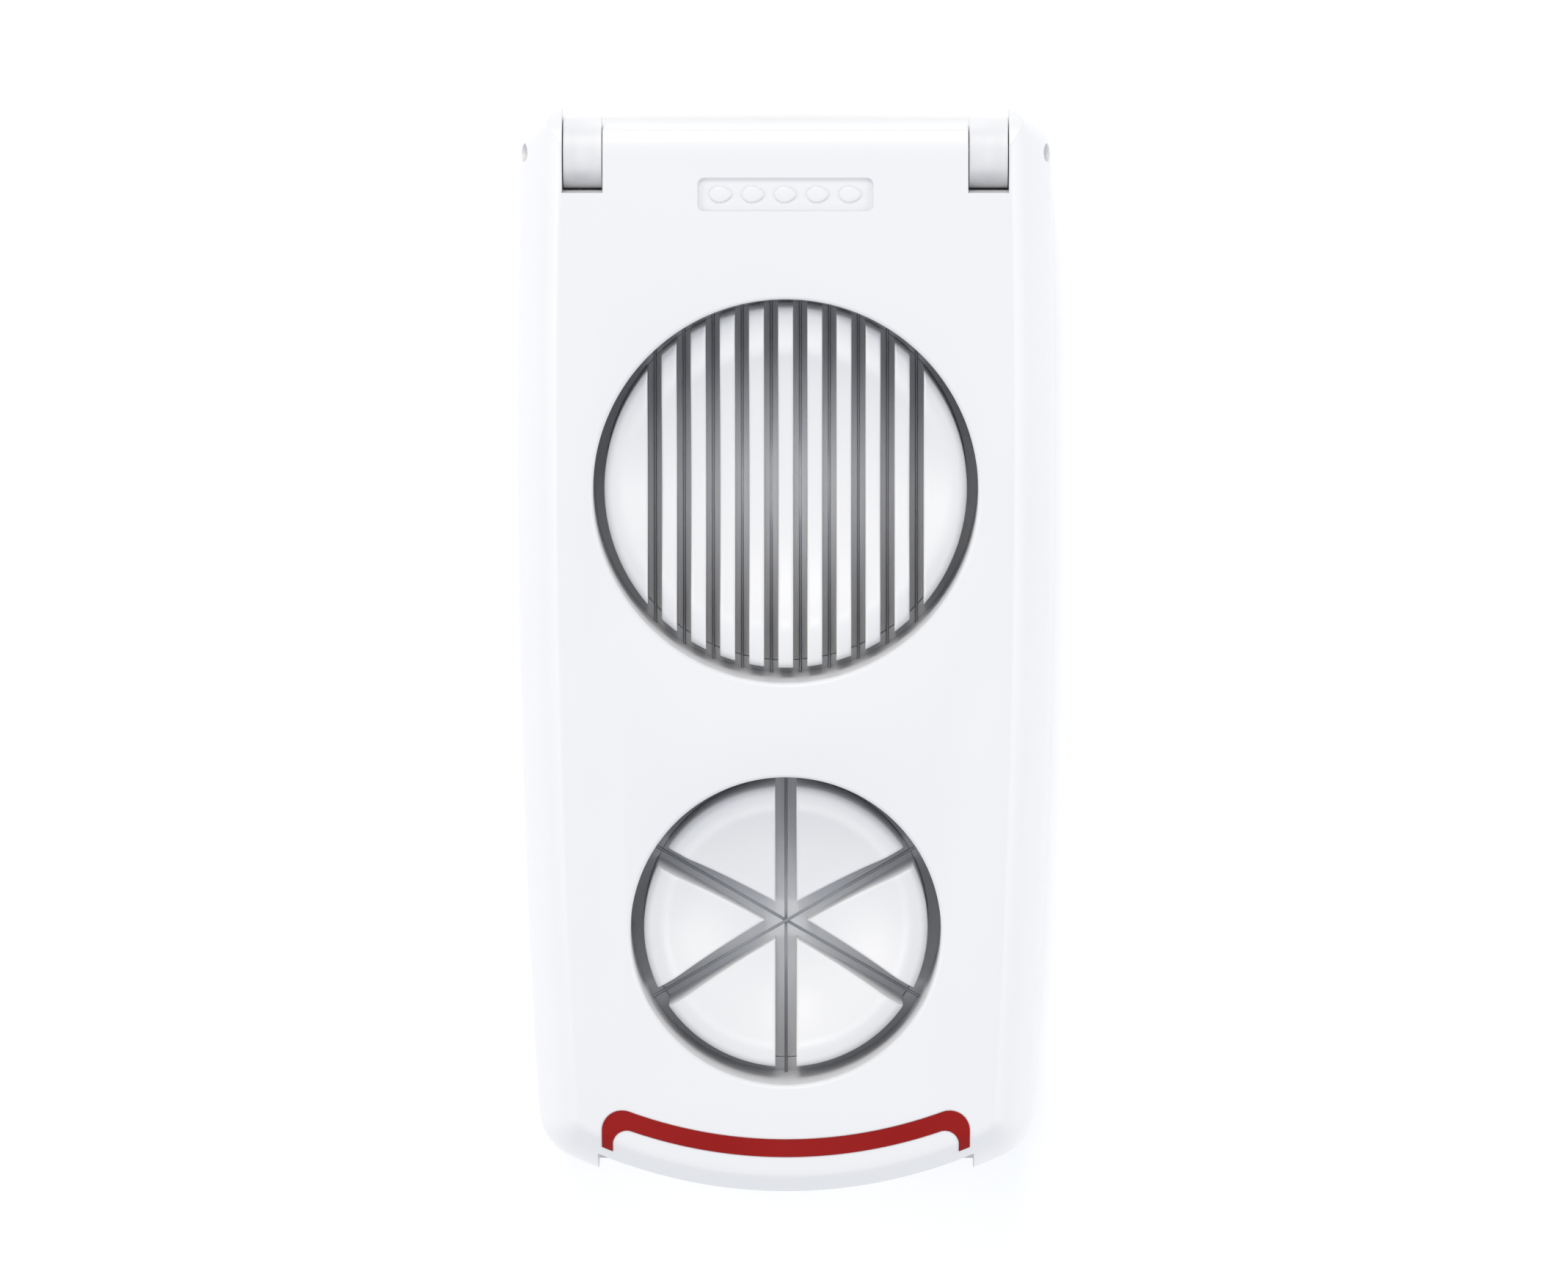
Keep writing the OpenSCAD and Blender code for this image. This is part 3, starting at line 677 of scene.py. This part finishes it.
def grown(name, group, **inputs):
    """The plain mesh that a tree makes with these inputs."""
    obj = bpy.data.objects.new(name, bpy.data.meshes.new(name))
    bpy.context.scene.collection.objects.link(obj)
    modifier = obj.modifiers.new("tree", "NODES")
    modifier.node_group = group
    names = {s.name.lower().replace(" ", "_"): s.identifier
             for s in group.interface.items_tree if s.in_out == "INPUT"}
    for key, value in inputs.items():
        modifier[names[key]] = value
    settle(obj)
    for attribute in ("step", "number"):
        if attribute in obj.data.attributes:
            obj.data.attributes.remove(obj.data.attributes[attribute])
    return obj


# ---- Badge

def egg_tree():
    """Geometry Nodes for a row of raised eggs, each a low dome with an egg's outline."""
    group = bpy.data.node_groups.new("egg_row", "GeometryNodeTree")
    group.interface.new_socket("Geometry", in_out="OUTPUT", socket_type="NodeSocketGeometry")
    kinds = {"Count": "NodeSocketInt", "Pitch": "NodeSocketFloat", "Length": "NodeSocketFloat",
             "Height": "NodeSocketFloat", "Centre": "NodeSocketVector", "Plastic": "NodeSocketMaterial"}
    for name, kind in kinds.items():
        group.interface.new_socket(name, in_out="INPUT", socket_type=kind)
    t = Tree(group)
    source = group.nodes.new("NodeGroupInput")
    given = {name: Value(t, source.outputs[name]) for name in kinds}
    ball = t.node("GeometryNodeMeshUVSphere", {"Segments": 40, "Rings": 20, "Radius": 1.0})
    x, y, z = t.parts(t.node("GeometryNodeInputPosition"))
    length, height = given["Length"], given["Height"]
    flat = z.maths("SIGN", z) * abs(z) ** 0.45
    across = y * length * 0.37 * (1 - x * 0.16)
    shape = t.node("ShaderNodeCombineXYZ", (x * length * 0.5, across, flat * height))
    ball = t.node("GeometryNodeSetPosition", {"Geometry": ball, "Position": shape})
    ball = t.node("GeometryNodeSetShadeSmooth", {"Geometry": ball})
    count, pitch = given["Count"], given["Pitch"]
    first = t.node("ShaderNodeCombineXYZ", ((count - 1) * pitch * -0.5, 0.0, 0.0))
    first = t.node("ShaderNodeVectorMath", (first, given["Centre"]), operation="ADD")
    spots = t.node("GeometryNodeMeshLine", {
        "Count": count, "Start Location": first, "Offset": t.node("ShaderNodeCombineXYZ", (pitch, 0.0, 0.0))})
    row = t.node("GeometryNodeInstanceOnPoints", {"Points": spots, "Instance": ball})
    row = t.node("GeometryNodeRealizeInstances", {"Geometry": row})
    row = t.node("GeometryNodeSetMaterial", {"Geometry": row, "Material": given["Plastic"]})
    target = group.nodes.new("NodeGroupOutput")
    group.links.new(row.socket, target.inputs["Geometry"])
    return group


# ---- Small parts

def hinge_pin(name, side):
    """A turned pin with broken edges at both ends."""
    ends = [(PIN_R - 0.35, PIN_IN), (PIN_R - 0.1, PIN_IN + 0.1), (PIN_R, PIN_IN + 0.35),
            (PIN_R, PIN_OUT - 0.35), (PIN_R - 0.1, PIN_OUT - 0.1), (PIN_R - 0.35, PIN_OUT)]
    if side < 0:
        ends = [(r, -x) for r, x in reversed(ends)]
    return smooth(turned_bar(name, ends), 40)


def foot(name, node):
    """A rubber foot with a soft edge and a dished, ringed underside."""
    low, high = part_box(node)
    cx, cy = (500 * (low[i] + high[i]) for i in (0, 1))
    r, stem, tall, flange = 5, 3, 6, 2
    soft = 0.7
    profile = [(0.4, 0.5), (1.2, 0.5), (1.4, 0.2), (1.6, 0.5), (2.5, 0.5), (2.7, 0.2), (2.9, 0.5),
               (3.4, 0.5), (3.8, 0.0), (4.3, 0.0)]
    profile += [(r - soft + soft * math.sin(a), soft - soft * math.cos(a))
                for a in np.linspace(0, math.pi / 2, 6)]
    profile += [(r, flange), (stem, flange), (stem, tall - 0.4), (stem - 0.4, tall)]
    return smooth(turned(name, profile, cx, cy, 72), 35)


# ---- Putting the slicer together

finish_piece(lid_cover(), "lid", "lid_plastic", LID_WHITE, "lid_cover")

inlay = grip_band("grip_band", BAND_PROUD, -BAND_DEPTH)
finish_piece(smooth(inlay, 40), "lid", "grip_red", GRIP_RED, "grip_inlay")

eggs = grown("badge_eggs", egg_tree(), count=EGGS, pitch=BADGE_W / (EGGS + 0.4) * MM, length=EGG_L * MM,
             height=0.5 * MM, centre=(0, BADGE_Y * MM, (TOP - BADGE_DEPTH) * MM), plastic=LID_WHITE)
finish_piece(eggs, "lid", "lid_plastic", LID_WHITE)

wires = wire_tree()
common = dict(wire=WIRE_R * MM, bend=BEND_R * MM, gap=WIRE_GAP * MM, hook=HOOK * MM, steel=WIRE_STEEL_PAINTED_SHADE)
slicing = grown("slicing_wires", wires, count=WIRES, pitch=WIRE_PITCH * MM, collar=(SLICE_R + COLLAR) * MM,
                rise=0.0, turn=0.0, first_turn=0.0, centre=(0, SLICE_Y * MM, WIRE_Z * MM), **common)
finish_piece(slicing, "lid", "wire_steel", WIRE_STEEL_PAINTED_SHADE, *[f"slicing_wire_{i + 1}" for i in range(WIRES)])
wedges = grown("wedge_wires", wires, count=WEDGES, pitch=0.0, collar=(WEDGE_R + COLLAR) * MM,
               rise=(2 * WIRE_R + WIRE_GAP) * MM, turn=math.pi / WEDGES, first_turn=0.0,
               centre=(0, WEDGE_Y * MM, WIRE_Z * MM), **common)
finish_piece(wedges, "lid", "wire_steel", WIRE_STEEL_PAINTED_SHADE, *[f"wedge_wire_{i + 1}" for i in range(WEDGES)])

slicing_ribs = cup("slicing_ribs", SLICE_Y, SLICE_CUP_R, slicing_blocks())
finish_piece(slicing_ribs, "base", "cup_plastic", CUP_WHITE, "slicing_cup")
wedge_ribs = cup("wedge_ribs", WEDGE_Y, WEDGE_CUP_R, wedge_blocks())
finish_piece(wedge_ribs, "base", "cup_plastic", CUP_WHITE, "wedge_cup")

for word, side in (("left", -1), ("right", 1)):
    finish_piece(hinge_pin(f"pin_{word}", side), "lid", "pin_steel", PIN_STEEL, f"hinge_pin_{word}")
    for end in ("front", "back"):
        node = f"foot_{end}_{word}"
        finish_piece(foot(f"rubber_{node}", node), "base", "foot_rubber", FOOT_GREY, node)

for node, finish in (("base_housing", BASE_WHITE), ("lid_liner", LINER_WHITE)):
    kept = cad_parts[node]
    kept.data.materials.clear()
    kept.data.materials.append(finish)


# ---- Floor, light and camera

def floor():
    w = 4000
    plane = to_object("floor", [(-w, -w, 0), (w, -w, 0), (w, w, 0), (-w, w, 0)], [(0, 1, 2, 3)])
    material, t = new_finish("studio_white")
    close_finish(t, values={"Base Color": (0.93, 0.93, 0.93, 1), "Roughness": 0.85,
                            "Emission Color": (1, 1, 1, 1), "Emission Strength": 0.14})
    plane.data.materials.append(material)


def lamp(name, place, target, size, watts, colour=(1, 1, 1)):
    light = bpy.data.lights.new(name, "AREA")
    light.shape, light.size, light.energy, light.color = "DISK", size, watts, colour
    obj = bpy.data.objects.new(name, light)
    bpy.context.scene.collection.objects.link(obj)
    way = Vector(target) - Vector(place)
    obj.location = place
    obj.rotation_euler = way.to_track_quat("-Z", "Y").to_euler()


def studio():
    floor()
    warm = (1, 0.945, 0.845)
    lamp("key", (-0.15, 1.2, 1.1), (0, 0, 0), 0.8, 9.1, warm)
    lamp("left", (-1.2, 0.1, 0.72), (0, 0, 0.02), 0.8, 5.9, warm)
    lamp("right", (1.2, 0.0, 0.72), (0, 0, 0.02), 0.8, 5.6, warm)
    lamp("front", (0.1, -1.3, 0.9), (0, 0, 0), 0.9, 3.2, warm)
    world = bpy.data.worlds.new("room")
    world.use_nodes = True
    world.node_tree.nodes["Background"].inputs["Color"].default_value = (0.83, 0.89, 1, 1)
    world.node_tree.nodes["Background"].inputs["Strength"].default_value = 0.69
    bpy.context.scene.world = world
    bpy.context.scene.view_settings.view_transform = "Standard"


def camera():
    lens = bpy.data.cameras.new("view")
    lens.sensor_fit, lens.sensor_width = "HORIZONTAL", 36
    lens.lens = 263.5
    lens.clip_end = 20
    obj = bpy.data.objects.new("view", lens)
    bpy.context.scene.collection.objects.link(obj)
    obj.location = (0.00773, 0.2465, 1.9573)
    obj.rotation_euler = (-0.1259, 0.0041, -0.0005)
    bpy.context.scene.camera = obj


studio()
camera()
